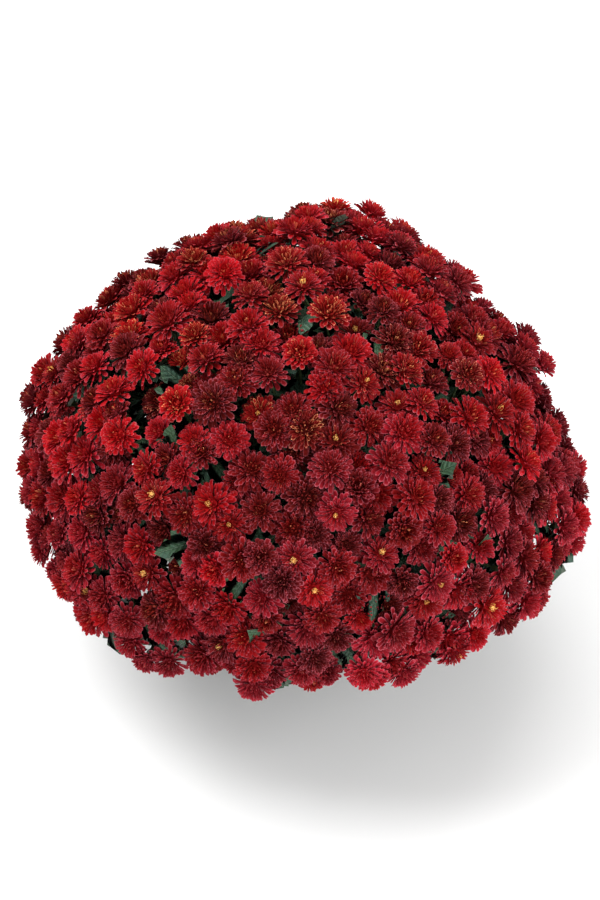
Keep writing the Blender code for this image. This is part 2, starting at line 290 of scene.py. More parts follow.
# The potting mix is dark peat with chips of composted bark and white perlite, pressed in to
# below the rim. Its surface is rough and a little heaped round the stems.
SOIL_LEVEL = 0.125
SOIL_MOUND = 0.004
SOIL_GAP = 0.0006
SOIL_RINGS = 22
SOIL_SIDES = 72
SOIL_LUMPS = 60
SOIL_ROUGHNESS = 0.0022
SOIL_SMOOTH_FROM = 0.104
SOIL_SMOOTH_WIDTH = 0.02
SOIL_TOP_FROM = SOIL_LEVEL - SOIL_MOUND - 0.0005
GRAINS_WITHIN = 0.094
GRAIN_SUNK = 0.1
GRAIN_TILT = 0.5
GRAIN_STRETCH = (0.7, 1.5)
GRAIN_BREADTH = 0.8
GRAIN_DENTS = 0.2
GRAIN_SEED = 3

# The grains, and the values that mark them: how many, their sizes and how flat they are.
BARK = 0.5
BARK_CHIPS = 110
BARK_SIZES = (0.0020, 0.0048)
BARK_FLATNESS = 0.35
PERLITE = 1.0
PERLITE_GRAINS = 90
PERLITE_SIZES = (0.0009, 0.0018)
PERLITE_FLATNESS = 0.85

PEAT_COLOURS = ((0.010, 0.007, 0.005), (0.030, 0.020, 0.013))
BARK_COLOURS = ((0.060, 0.032, 0.018), (0.110, 0.066, 0.038))
PERLITE_WHITE = (0.62, 0.60, 0.55)


def soil_profile():
    """The section of the mix, with rings close together across its top."""
    floor = FOOT_HEIGHT + POT_WALL + SOIL_GAP
    inside = POT_WALL + SOIL_GAP
    edge = wall_radius(SOIL_LEVEL - SOIL_MOUND) - inside
    points = [(0, floor), (wall_radius(floor) - inside, floor)]
    for i in range(SOIL_RINGS + 1):
        share = 1 - i / SOIL_RINGS
        points.append((edge * share, SOIL_LEVEL - SOIL_MOUND * share**4))
    return points


def soil_surface():
    look = Surface("potting_mix", 0.95, Specular_IOR_Level=0.25)
    crumb = look.noise(420, 6, roughness=0.65)
    damp = look.ramp(look.noise(30, 3), 0.35, 0.65)
    dark = look.mix(damp, *PEAT_COLOURS)
    kind = look.node("ShaderNodeAttribute", {"attribute_name": "grain"}).outputs["Fac"]
    bark = look.mix(look.ramp(crumb, 0.4, 0.6), *BARK_COLOURS)
    mixed = look.mix(look.ramp(kind, 0.2, 0.4), dark, bark)
    look.colour(look.mix(look.ramp(kind, 0.7, 0.8), mixed, PERLITE_WHITE))
    look.bump(crumb, 0.0012)
    return look.material


def lay_grains(shape, kind, count, sizes, flatness, rng):
    """Scatters rough grains over the mix, half sunk in it, and marks them as this kind."""
    mark = shape.verts.layers.float["grain"]
    for _ in range(count):
        reach = GRAINS_WITHIN * math.sqrt(rng.random())
        bearing = rng.uniform(0, 2 * math.pi)
        size = rng.uniform(*sizes)
        high = SOIL_LEVEL - size * GRAIN_SUNK
        spot = Vector((reach * math.cos(bearing), reach * math.sin(bearing), high))
        turn = Matrix.Rotation(rng.uniform(0, math.pi), 4, "Z")
        turn = turn @ Matrix.Rotation(rng.uniform(-GRAIN_TILT, GRAIN_TILT), 4, "X")
        length = size * rng.uniform(*GRAIN_STRETCH)
        stretch = Matrix.Diagonal((length, size * GRAIN_BREADTH, size * flatness, 1))
        made = bmesh.ops.create_icosphere(
            shape, subdivisions=1, radius=1, matrix=Matrix.Translation(spot) @ turn @ stretch
        )
        for vert in made["verts"]:
            vert[mark] = kind
            vert.co += Vector([rng.uniform(-GRAIN_DENTS, GRAIN_DENTS) * size for _ in range(3)])


def make_soil():
    shape = turned(soil_profile(), SOIL_SIDES)
    shape.verts.layers.float.new("grain")
    for vert in shape.verts:
        if vert.co.z > SOIL_TOP_FROM:
            rough = noise.fractal(vert.co * SOIL_LUMPS, 0.6, 2.0, 4)
            calm = min(1, (SOIL_SMOOTH_FROM - vert.co.xy.length) / SOIL_SMOOTH_WIDTH)
            vert.co.z += SOIL_ROUGHNESS * rough * max(calm, 0)
    rng = random.Random(GRAIN_SEED)
    lay_grains(shape, BARK, BARK_CHIPS, BARK_SIZES, BARK_FLATNESS, rng)
    lay_grains(shape, PERLITE, PERLITE_GRAINS, PERLITE_SIZES, PERLITE_FLATNESS, rng)
    return shape


new_piece("potting_mix", make_soil(), soil_surface(), "soil")


# The plant is a dome of sprays on one rootstock. This is its plan: where each bloom stands on
# the dome, how deep it sits and which spray it is in, by the rule that the solid blooms follow.
CROWN_RADIUS = 0.232
CROWN_RISE = 0.225
CROWN_CURL = 0.120
WIDEST_HEIGHT = 0.160
SKIRT_ANGLE = math.radians(98)
BLOOMS = 572
BLOOM_JITTER = 0.20
BLOOM_SINK = 0.009
CROWN_SEED = 6
SPRAYS = 17
GOLDEN_ANGLE = math.pi * (3 - math.sqrt(5))
CROWN_CENTRE = Vector((0, 0, WIDEST_HEIGHT))
LEAST_SINE = 0.2
NORMAL_STEP = 0.02
SAME_PLACE = 0.0005

# Swellings and hollows of the dome: bearing and height in degrees, and share of the radius.
SWELLING_SPREAD = 0.03
SWELLINGS = (
    (-4, -4, 0.055), (18, 13, -0.065), (36, 32, -0.055), (75, 47, 0.050), (135, 38, -0.030),
    (166, 15, 0.040), (-140, -8, 0.035), (-35, -8, 0.015),
)


def towards(bearing, height):
    """The direction at a bearing from +X and a height above the horizon, both in radians."""
    level = math.cos(height)
    return Vector((level * math.cos(bearing), level * math.sin(bearing), math.sin(height)))


def crown_point(direction, depth=0.0):
    """The point at this depth below the dome's surface, straight towards its middle."""
    rise = CROWN_RISE if direction.z > 0 else CROWN_CURL
    stretch = 1.0
    for bearing, height, share in SWELLINGS:
        middle = towards(math.radians(bearing), math.radians(height))
        stretch += share * math.exp((direction.dot(middle) - 1) / SWELLING_SPREAD)
    out = Vector((CROWN_RADIUS * direction.x, CROWN_RADIUS * direction.y, rise * direction.z))
    out *= stretch
    return CROWN_CENTRE + out * (1 - depth / out.length)


def crown_normal(direction):
    """The way the dome's surface faces."""
    side = direction.orthogonal().normalized()
    other = direction.cross(side)
    here = crown_point(direction)
    first = crown_point((direction + side * NORMAL_STEP).normalized()) - here
    second = crown_point((direction + other * NORMAL_STEP).normalized()) - here
    return first.cross(second).normalized()


def bloom_directions():
    """Where the blooms stand, a seeded golden-angle spiral over the dome, and how deep they sit."""
    rng = random.Random(CROWN_SEED)
    on_sphere = 2 * BLOOMS / (1 - math.cos(SKIRT_ANGLE))
    spacing = math.sqrt(4 * math.pi / on_sphere)
    found = []
    for i in range(BLOOMS):
        polar = math.acos(1 - (2 * i + 1) / on_sphere)
        sine = max(math.sin(polar), LEAST_SINE)
        polar += rng.uniform(-1, 1) * BLOOM_JITTER * spacing
        bearing = i * GOLDEN_ANGLE + rng.uniform(-1, 1) * BLOOM_JITTER * spacing / sine
        found.append(towards(bearing, math.pi / 2 - polar))
    sinks = [BLOOM_SINK * rng.random() ** 1.5 for _ in range(BLOOMS)]
    return found, sinks


class Bloom:
    """One flower head: where the top of its middle is, and the way it faces."""

    def __init__(self, direction, sink):
        self.top = crown_point(direction, sink)
        self.out = crown_normal(direction)


blooms = [Bloom(direction, sink) for direction, sink in zip(*bloom_directions())]
spray_names = [f"{k + 1:02d}" for k in range(SPRAYS)]
solid_sprays = {n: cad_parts["blooms_" + n].data for n in spray_names}
spray_points = [vert.co.copy() for n in spray_names for vert in solid_sprays[n].vertices]
spray_of_point = [n for n in spray_names for _ in solid_sprays[n].vertices]
nearest = kdtree.KDTree(len(spray_points))
for i, point in enumerate(spray_points):
    nearest.insert(point, i)
nearest.balance()
sprays = {n: [] for n in spray_names}
for bloom in blooms:
    _, i, away = nearest.find(bloom.top)
    if away > SAME_PLACE:
        raise RuntimeError("a bloom isn't where the solid one is")
    sprays[spray_of_point[i]].append(bloom)
seats = {}
for n in spray_names:
    points = [point for point, name in zip(spray_points, spray_of_point) if name == n]
    seats[n] = min(points, key=lambda point: (point - CROWN_CENTRE).length)


# Each bloom has its own size and stage, few of them wide open. It faces out and a little upwards,
# and its calyx, where the stalk ends, is the height of the flower below its top. The blooms make
# low mounds. Round the gaps in the dome they are smaller and deeper, and lean away from the gap.
BLOOM_SIZES = (0.91, 1.20)
BLOOM_TILT = 0.20
BLOOM_LIFT = 0.20
FLOWER_HEIGHT = 0.0168
CALYX_HEIGHT = 0.0048
STAGE_SHARES = (4, 4, 0.8, 4, 4, 3, 0.8, 3)
OPEN_STAGES = (2, 6)
DEEP_SHARE = 0.40
DEEP_SINK = 0.015
DEEP_PAINTED_SHADE = 0.30
MOUND_RISE = 0.009
MOUND_SPREAD = 0.065
DARK_SHARE = 0.26
DARK_TONES = (0.0, 0.12)
OTHER_TONES = (0.30, 1.0)
OPEN_TONE = 0.4
PAINTED_WARM_LIGHT_ABOVE = 0.75
PAINTED_WARM_LIGHT_LEVEL = 0.45
PAINTED_LIGHT_COOLER_RIGHT = 0.25
BLOOM_SEED = 21

# Gaps in the dome: bearing and height in degrees, and width in metres. A leaf fills each leafy
# one, and the narrowest of those only hold a leaf and push no bloom aside.
BARE_GAPS = (
    (-92, 62, 0.020), (-36, 36, 0.022), (-29, 78, 0.022), (-116, 43, 0.019), (-105, 54, 0.014),
    (-90, 46, 0.020), (-146, 46, 0.020), (-77, 31, 0.018), (-16, 56, 0.020), (63, 68, 0.020),
    (60, 30, 0.022), (160, 40, 0.022),
)
LEAFY_GAPS = (
    (-128, 44, 0.018), (-118, 25, 0.024), (-103, 20, 0.020), (-47, 18, 0.022), (-52, 38, 0.016),
    (-74, 16, 0.018), (-142, 56, 0.018), (20, 40, 0.022), (100, 46, 0.024), (128, 22, 0.020),
    (178, 18, 0.022), (-97, 9, 0.016), (-124, 2, 0.004), (-116, 0, 0.004), (-134, -12, 0.004),
    (74, 60, 0.004), (124, 74, 0.004), (-86, 80, 0.004), (-26, 8, 0.004), (-24, 3, 0.004),
)
GAP_SHRINK = 0.22
GAP_SINK = 0.009
GAP_SHIFT = 0.0045
GAP_LEAN = 50

# Blooms that are wide open, and patches whose petals have golden edges: bearing and height.
OPEN_BLOOMS = (
    (-107, 37), (-72, 29), (-82, 33), (-86, 21), (-108, 56), (-55, 82), (-67, 13), (-50, 8),
    (-22, 39), (-93, 27), (-63, 57), (-128, 33), (35, 25), (80, 50), (120, 35), (170, 25),
)
GOLDEN_PATCHES = ((-63, 80), (-28, 70), (-26, 52), (-21, 40), (-49, 6), (110, 55))
PATCH_WIDTH = 0.034
PATCH_WARMTH = 0.62

# Places where the blooms lie lower and are darkened with painted shade, and where they stand
# proud and are lightened with painted light.
LOW_PLACES_PAINTED_SHADE = (
    (-97, 47), (-96, 56), (-90, 36), (-73, 26), (-23, 66), (-80, 26), (-62, 32), (-127, 18),
    (-123, 41), (-45, 37), (-104, 4), (-60, 60), (-122, 62), (30, 20), (80, 35), (140, 50),
)
PROUD_PLACES_PAINTED_LIGHT = (
    (-71, 76), (-142, 70), (17, 64), (-114, 52), (-51, 50), (-70, 45), (-106, 26), (-40, 10),
    (-150, 33), (-124, 31), (-6, 47), (170, 84), (60, 45), (110, 20), (150, 20),
)
PLACE_PAINTED_SHADE = 0.45
PLACE_PAINTED_LIGHT = 0.35
PROUD = 0.004


def place_point(place, depth=0.0):
    """The point of the dome at the bearing and height that a place starts with."""
    return crown_point(towards(math.radians(place[0]), math.radians(place[1])), depth)


def nearness(bloom, gap):
    """How near the bloom is to the gap, from 1 in its middle to 0 well away, and the way out."""
    away = bloom.top - place_point(gap)
    return math.exp(-((away.length / gap[2]) ** 2)), away.normalized()


def patch_share(bloom, place):
    """How much the bloom belongs to the patch round a place, from 1 in its middle."""
    return math.exp(-(((bloom.top - place_point(place)).length / PATCH_WIDTH) ** 2))


bloom_rng = random.Random(BLOOM_SEED)
for bloom in blooms:
    jitter = Vector([bloom_rng.gauss(0, BLOOM_TILT) for _ in range(3)])
    bloom.size = bloom_rng.uniform(*BLOOM_SIZES)
    bloom.stage = bloom_rng.choices(range(len(STAGE_SHARES)), STAGE_SHARES)[0]
    bloom.spin = bloom_rng.uniform(0, 2 * math.pi)
    dark = bloom_rng.random() < DARK_SHARE
    bloom.tone = bloom_rng.uniform(*(DARK_TONES if dark else OTHER_TONES))
    # A bloom's warmth is partly its own at random and partly painted warm light: raised where it faces
    # up, lowered where it faces right.
    bloom.warmth = bloom_rng.random() - PAINTED_LIGHT_COOLER_RIGHT * bloom.out.x
    bloom.warmth += PAINTED_WARM_LIGHT_ABOVE * (bloom.out.z - PAINTED_WARM_LIGHT_LEVEL)
    sink = DEEP_SINK * bloom_rng.random() if bloom_rng.random() < DEEP_SHARE else 0.0
    sink -= MOUND_RISE * noise.noise(bloom.top / MOUND_SPREAD)
    shift = Vector()
    for near, away in (nearness(bloom, gap) for gap in BARE_GAPS + LEAFY_GAPS):
        bloom.size *= 1 - GAP_SHRINK * near
        sink += GAP_SINK * near
        shift += away * GAP_SHIFT * near
    bloom.axis = (bloom.out + UP * BLOOM_LIFT + jitter + shift * GAP_LEAN).normalized()
    bloom.top += shift - bloom.out * sink
    bloom.foot = bloom.top - bloom.axis * FLOWER_HEIGHT * bloom.size
    bloom.warmth += PATCH_WARMTH * sum(patch_share(bloom, place) for place in GOLDEN_PATCHES)
    # Deep blooms and blooms in the low places are darkened with painted shade; those in the proud places
    # are lightened with painted light.
    bright = sum(patch_share(bloom, place) for place in PROUD_PLACES_PAINTED_LIGHT)
    dull = sum(patch_share(bloom, place) for place in LOW_PLACES_PAINTED_SHADE)
    painted_shade = PLACE_PAINTED_SHADE * dull + DEEP_PAINTED_SHADE * max(0, sink) / DEEP_SINK
    bloom.tone = min(1, max(0, bloom.tone + PLACE_PAINTED_LIGHT * bright - painted_shade))
    proud = bloom.out * PROUD * (bright - dull)
    bloom.top += proud
    bloom.foot += proud
for i, place in enumerate(OPEN_BLOOMS):
    bloom = min(blooms, key=lambda bloom: (bloom.top - place_point(place)).length)
    bloom.stage = OPEN_STAGES[i % 2]
    bloom.tone = max(bloom.tone, OPEN_TONE)


def facing(direction, spin=0.0):
    """The turn that stands a shape's own upward axis along the direction, spun about it."""
    tilt = UP.rotation_difference(direction).to_matrix().to_4x4()
    return tilt @ Matrix.Rotation(spin, 4, "Z")


# The stems are green, and woody at the foot, where they stand in the mix as thick as a pencil.
# One rises to each spray and forks into a stalk for each bloom, which ends in the green cup of
# the calyx that holds the flower.
STEM_BASE_RADIUS = 0.0042
STEM_TIP_RADIUS = 0.0024
STEM_CIRCLE = 0.068
STEM_COLLAR = 0.003
STEM_POINTS = 14
STEM_ROUNDNESS = 2
STEM_IN_SOIL = 0.012
STEM_RISE = 0.050
STEM_RISE_SHARE = 0.35
SEAT_RUN = 0.050
STALK_RADII = (0.0017, 0.0010)
STALK_POINTS = 5
STALK_ROUNDNESS = 0
STALK_RUNS = (0.35, 0.45)
FORKS = (0.60, 0.97)
FORK_STEP = 0.02
STALK_SEED = 11
CALYX_RADIUS = 0.0040
CALYX_SIDES = 6
CALYX_OVERLAP = 1.3
STEM_GREENS = ((0.030, 0.052, 0.018), (0.062, 0.085, 0.030))
STEM_BROWNS = ((0.060, 0.044, 0.024), (0.090, 0.068, 0.038))
WOODY_HEIGHT = 0.07


def bezier(handles, share):
    """The point at this share of the way along a curve with four handles."""
    rest = 1 - share
    weights = (rest**3, 3 * rest * rest * share, 3 * rest * share * share, share**3)
    return sum((point * weight for point, weight in zip(handles, weights)), Vector())


def stem_handles(seat):
    """The curve of a main stem, from the soil out and up to the seat of its spray."""
    out = seat - CROWN_CENTRE
    polar = math.acos(out.normalized().z)
    foot = Vector((out.x, out.y, 0)).normalized() * STEM_CIRCLE * min(1, polar / SKIRT_ANGLE)
    foot.z = SOIL_LEVEL + STEM_COLLAR
    rise = Vector((0, 0, max(STEM_RISE, STEM_RISE_SHARE * (seat.z - foot.z))))
    return foot, foot + rise, seat - out.normalized() * SEAT_RUN, seat


def stalk_handles(stem, bloom, rng):
    """The curve of a bloom's stalk, from its fork on the main stem to its calyx."""
    share = rng.uniform(*FORKS)
    fork = bezier(stem, share)
    onwards = (bezier(stem, share + FORK_STEP) - fork).normalized()
    end = bloom.foot - bloom.axis * CALYX_HEIGHT
    reach = (end - fork).length
    first_run, last_run = STALK_RUNS
    return fork, fork + onwards * first_run * reach, end - bloom.axis * last_run * reach, end


def add_tube(curve, handles, points, radii, below=0.0):
    """A tapered tube along the handles' curve, begun this far below its start."""
    line = curve.splines.new("POLY")
    line.points.add(points - 1)
    for i, spot in enumerate(line.points):
        share = i / (points - 1)
        point = bezier(handles, share)
        if i == 0:
            point.z -= below
        spot.co = (*point, 1)
        spot.radius = radii[0] + (radii[1] - radii[0]) * share


def tubes(roundness):
    """An empty curve whose lines become tubes."""
    curve = bpy.data.curves.new("tubes", "CURVE")
    curve.dimensions = "3D"
    curve.bevel_depth = 1.0
    curve.bevel_resolution = roundness
    curve.use_fill_caps = True
    return curve


def add_as_mesh(shape, curve):
    """Adds a curve's tubes to the shape as faces."""
    holder = put("tubes", curve)
    bpy.context.view_layer.update()
    mesh = bpy.data.meshes.new_from_object(holder.evaluated_get(bpy.context.evaluated_depsgraph_get()))
    shape.from_mesh(mesh)
    bpy.data.objects.remove(holder)
    bpy.data.meshes.remove(mesh)


def add_calyx(shape, bloom):
    """The green cup on the end of a stalk, a little way round the flower's foot."""
    depth = CALYX_HEIGHT * CALYX_OVERLAP
    middle = bloom.foot - bloom.axis * (CALYX_HEIGHT - depth / 2)
    bmesh.ops.create_cone(
        shape,
        cap_ends=True,
        segments=CALYX_SIDES,
        radius1=STALK_RADII[1],
        radius2=CALYX_RADIUS * bloom.size,
        depth=depth,
        matrix=Matrix.Translation(middle) @ facing(bloom.axis),
    )


def stem_surface():
    look = Surface("green_stems", 0.55, Specular_IOR_Level=0.3)
    patches = look.ramp(look.noise(60, 4), 0.35, 0.7)
    high = look.node("ShaderNodeSeparateXYZ", Vector=look.place()).outputs["Z"]
    green = look.mix(patches, *STEM_GREENS)
    wood = look.mix(patches, *STEM_BROWNS)
    look.colour(look.mix(look.ramp(high, SOIL_LEVEL, SOIL_LEVEL + WOODY_HEIGHT), wood, green))
    look.bump(look.noise(700, 3), 0.0003)
    return look.material


green_stems = stem_surface()
stalk_rng = random.Random(STALK_SEED)
stems = {n: stem_handles(seat) for n, seat in seats.items()}
for n, members in sprays.items():
    shape = bmesh.new()
    main_stem = tubes(STEM_ROUNDNESS)
    radii = (STEM_BASE_RADIUS, STEM_TIP_RADIUS)
    add_tube(main_stem, stems[n], STEM_POINTS, radii, below=STEM_IN_SOIL)
    add_as_mesh(shape, main_stem)
    stalks = tubes(STALK_ROUNDNESS)
    for bloom in members:
        bloom.stalk = stalk_handles(stems[n], bloom, stalk_rng)
        add_tube(stalks, bloom.stalk, STALK_POINTS, STALK_RADII)
        add_calyx(shape, bloom)
    add_as_mesh(shape, stalks)
    new_piece("stem_forked_" + n, shape, green_stems, "stem_" + n, smooth_under=70)


# The leaves are deeply lobed, dark blue-green above and paler and greyer below, with a midrib
# and side veins. They grow from the stalks and the main stems and close the dome from inside.
LEAF_KINDS = 6
LEAF_SEED = 17
LEAVES_ON_STALK = 2
LEAVES_ON_LOW_STALK = 4
LOW_BLOOM = 0.30
LEAF_PLACES = (0.40, 0.92)
LEAF_LENGTHS = (0.032, 0.052)
LEAVES_ON_STEM = 26
STEM_LEAF_PLACES = (0.36, 0.98)
STEM_LEAF_LENGTHS = (0.046, 0.062)
STEM_LEAF_LIFT = 0.5
LEAF_STEP = 0.03
LEAF_SLANT = (0.05, 0.55)
LEAF_COVER = 0.012
LEAF_TRIES = 8
GAP_LEAF_DEPTH = 0.019
GAP_LEAF_SHARE = 0.90
GAP_LEAF_LENGTHS = (0.030, 0.044)
GAP_LEAF_MIDDLE = 0.55

# A leaf's form, in shares of its length.
LEAF_JITTER = 0.02
LEAF_BREADTHS = (0.85, 1.15)
LEAF_FLAT_WIDTH = 0.4
MIDRIB_DEPTH = 0.018
LEAF_FOLD = 0.22
LEAF_FOLDS = (0.9, 1.1)
LEAF_DROOP = 0.30
DROOP_AFTER = 0.2
LEAF_RIPPLE = 0.025
LEAF_WAVES = 17
LOBE_REACH = 0.3

# Half of a leaf's outline from its foot to its last notch, and the bends of its midrib, as
# shares of its length: how far along, and how far out.
LEAF_SIDE = (
    (0.00, 0.012), (0.20, 0.020), (0.27, 0.21), (0.37, 0.27), (0.43, 0.13), (0.52, 0.29),
    (0.65, 0.33), (0.70, 0.16), (0.80, 0.21), (0.88, 0.13),
)
LEAF_RIBS = (0.28, 0.46, 0.68, 0.86)

# Leaf colours: of the upper side from dark to light, of its bluish patches and its veins, and of
# the lower side and its veins. The side veins slant back from the midrib.
LEAF_GREENS = ((0.020, 0.050, 0.026), (0.052, 0.110, 0.050))
LEAF_BLUISH = (0.034, 0.078, 0.064)
LEAF_VEINS = (0.110, 0.170, 0.110)
LEAF_BELOW = ((0.080, 0.105, 0.078), (0.120, 0.150, 0.100))
SIDE_VEINS = 58.0
VEIN_SLANT = 0.45


def flat_leaf(rng):
    """One flat face with a leaf's lobed outline, a unit long, its midrib along X."""
    shape = bmesh.new()
    sides = [
        [
            (along + rng.uniform(-LEAF_JITTER, LEAF_JITTER), way * out * rng.uniform(*LEAF_BREADTHS))
            for along, out in LEAF_SIDE
        ]
        for way in (1, -1)
    ]
    outline = sides[0] + [(1.0, 0.0)] + sides[1][::-1]
    shape.faces.new([shape.verts.new((along, out, 0)) for along, out in outline])
    return shape


def split_midrib(shape):
    """Cuts the leaf along its midrib, so that it can fold there, and into triangles."""
    whole = shape.verts[:] + shape.edges[:] + shape.faces[:]
    bmesh.ops.bisect_plane(shape, geom=whole, plane_co=(0, 0, 0), plane_no=(0, 1, 0), dist=1e-5)
    middle = [edge for edge in shape.edges if all(abs(vert.co.y) < 1e-4 for vert in edge.verts)]
    made = bmesh.ops.subdivide_edges(shape, edges=middle, cuts=len(LEAF_RIBS))
    ribs = [part for part in made["geom_inner"] if isinstance(part, bmesh.types.BMVert)]
    for vert, along in zip(sorted(ribs, key=lambda vert: vert.co.x), LEAF_RIBS):
        vert.co.x = along
    bmesh.ops.triangulate(shape, faces=shape.faces)


def leaf_mesh(rng):
    """A closed leaf a unit long: its two sides meet at the outline, with the midrib proud below."""
    shape = flat_leaf(rng)
    split_midrib(shape)
    mark = shape.loops.layers.float_color.new("leaf")
    lower = bmesh.ops.duplicate(shape, geom=shape.verts[:] + shape.edges[:] + shape.faces[:])["geom"]
    lower_faces = {part for part in lower if isinstance(part, bmesh.types.BMFace)}
    bmesh.ops.reverse_faces(shape, faces=list(lower_faces))
    for face in shape.faces:
        under = 1.0 if face in lower_faces else 0.0
        for loop in face.loops:
            loop[mark] = (loop.vert.co.x, loop.vert.co.y / LEAF_FLAT_WIDTH + 0.5, under, 0.0)
    for vert in {vert for face in lower_faces for vert in face.verts}:
        if abs(vert.co.y) < 1e-4 and 0.02 < vert.co.x < 0.98:
            vert.co.z = -1
    bmesh.ops.remove_doubles(shape, verts=shape.verts, dist=1e-5)
    wave = rng.uniform(0, 10)
    for vert in shape.verts:
        below = vert.co.z < -0.5
        fold = LEAF_FOLD * abs(vert.co.y) * rng.uniform(*LEAF_FOLDS)
        droop = LEAF_DROOP * max(0, vert.co.x - DROOP_AFTER) ** 2
        ripple = LEAF_RIPPLE * math.sin(vert.co.x * LEAF_WAVES + wave) * abs(vert.co.y) / LOBE_REACH
        vert.co.z = fold + ripple - droop - (MIDRIB_DEPTH if below else 0)
    bmesh.ops.recalc_face_normals(shape, faces=shape.faces)
    return as_mesh("leaf", shape)


def add_leaf(shape, mesh, foot, along, face, length, tone):
    """Adds a copy of the leaf that grows from the foot this way, its upper side facing so."""
    across = face.cross(along).normalized()
    up = along.cross(across).normalized()
    place = Matrix.Identity(4)
    for k, column in enumerate((along.normalized(), across, up)):
        for row in range(3):
            place[row][k] = column[row] * length
        place[k][3] = foot[k]
    leaf = mesh.copy()
    marks = np.empty(len(leaf.loops) * 4, np.float32)
    leaf.attributes["leaf"].data.foreach_get("color", marks)
    marks[3::4] = tone
    leaf.attributes["leaf"].data.foreach_set("color", marks)
    leaf.transform(place)
    shape.from_mesh(leaf)
    bpy.data.meshes.remove(leaf)


def leaf_surface():
    look = Surface("green_leaves", 0.42, Specular_IOR_Level=0.22)
    marks = look.node("ShaderNodeAttribute", {"attribute_name": "leaf"})
    parts = look.node("ShaderNodeSeparateColor", Color=marks.outputs["Color"])
    along, across, under = (parts.outputs[name] for name in ("Red", "Green", "Blue"))
    out = look.math("ABSOLUTE", look.math("SUBTRACT", across, 0.5), 0.0)
    slant = look.math("SUBTRACT", along, look.times(out, VEIN_SLANT))
    wave = look.math("SINE", look.times(slant, SIDE_VEINS), 0.0)
    veins = look.math("MAXIMUM", look.ramp(wave, 0.90, 1.0), look.ramp(out, 0.045, 0.015))
    patches = look.ramp(look.noise(80, 4), 0.35, 0.7)
    top = look.mix(marks.outputs["Alpha"], *LEAF_GREENS)
    top = look.mix(look.times(patches, 0.6), top, LEAF_BLUISH)
    top = look.mix(look.times(veins, 0.45), top, LEAF_VEINS)
    below = look.mix(look.times(veins, 0.6), *LEAF_BELOW)
    puckers = look.math("ADD", look.noise(170, 4), look.times(wave, 0.15))
    look.bump(look.math("SUBTRACT", puckers, look.times(veins, 0.8)), 0.0016)
    return look.colour(look.mix(under, top, below))


def crown_depth(point):
    """How far the point is below the dome's surface."""
    out = point - CROWN_CENTRE
    rise = CROWN_RISE if out.z > 0 else CROWN_CURL
    direction = Vector((out.x / CROWN_RADIUS, out.y / CROWN_RADIUS, out.z / rise)).normalized()
    return (crown_point(direction) - CROWN_CENTRE).length - out.length


def grow_leaf(shape, kinds, handles, share, facing_up, lengths, rng):
    """A leaf at this share of the way along a stem or stalk, to a side where its tip is covered."""
    foot = bezier(handles, share)
    ahead = bezier(handles, min(share + LEAF_STEP, 1.0))
    onwards = (ahead - bezier(handles, share - LEAF_STEP)).normalized()
    length = rng.uniform(*lengths)
    for _ in range(LEAF_TRIES):
        along = onwards.orthogonal().normalized()
        along.rotate(Matrix.Rotation(rng.uniform(0, 2 * math.pi), 3, onwards))
        along = (along + onwards * rng.uniform(*LEAF_SLANT)).normalized()
        if crown_depth(foot + along * length) > LEAF_COVER:
            break
    add_leaf(shape, rng.choice(kinds), foot, along, facing_up, length, rng.random())


def leaf_in_gap(shape, kinds, members, gap, rng):
    """A leaf that lies in a gap, its middle near the top, on the stalk of a bloom beside it."""
    middle = place_point(gap, GAP_LEAF_DEPTH)
    bloom = min(members, key=lambda bloom: (bezier(bloom.stalk, GAP_LEAF_SHARE) - middle).length)
    foot = bezier(bloom.stalk, GAP_LEAF_SHARE)
    shortest, longest = GAP_LEAF_LENGTHS
    length = min(max((middle - foot).length / GAP_LEAF_MIDDLE, shortest), longest)
    along = (middle - foot).normalized()
    add_leaf(shape, rng.choice(kinds), foot, along, bloom.out, length, rng.random())


def sprays_of_gaps():
    """The leafy gaps by the spray whose blooms are nearest."""
    found = {n: [] for n in sprays}
    for gap in LEAFY_GAPS:
        middle = place_point(gap)
        owner = min(sprays, key=lambda n: min((bloom.top - middle).length for bloom in sprays[n]))
        found[owner].append(gap)
    return found


green_leaves = leaf_surface()
leaf_rng = random.Random(LEAF_SEED)
gaps_of_spray = sprays_of_gaps()
leaf_kinds = [leaf_mesh(leaf_rng) for _ in range(LEAF_KINDS)]
for n, members in sprays.items():
    shape = bmesh.new()
    for bloom in members:
        for _ in range(LEAVES_ON_STALK if bloom.out.z > LOW_BLOOM else LEAVES_ON_LOW_STALK):
            share = leaf_rng.uniform(*LEAF_PLACES)
            grow_leaf(shape, leaf_kinds, bloom.stalk, share, bloom.axis, LEAF_LENGTHS, leaf_rng)
    for _ in range(LEAVES_ON_STEM):
        outwards = (seats[n] - CROWN_CENTRE).normalized() + UP * STEM_LEAF_LIFT
        share = leaf_rng.uniform(*STEM_LEAF_PLACES)
        grow_leaf(shape, leaf_kinds, stems[n], share, outwards, STEM_LEAF_LENGTHS, leaf_rng)
    for gap in gaps_of_spray[n]:
        leaf_in_gap(shape, leaf_kinds, members, gap, leaf_rng)
    new_piece("leaves_" + n, shape, green_leaves, "stem_" + n, smooth_under=50)


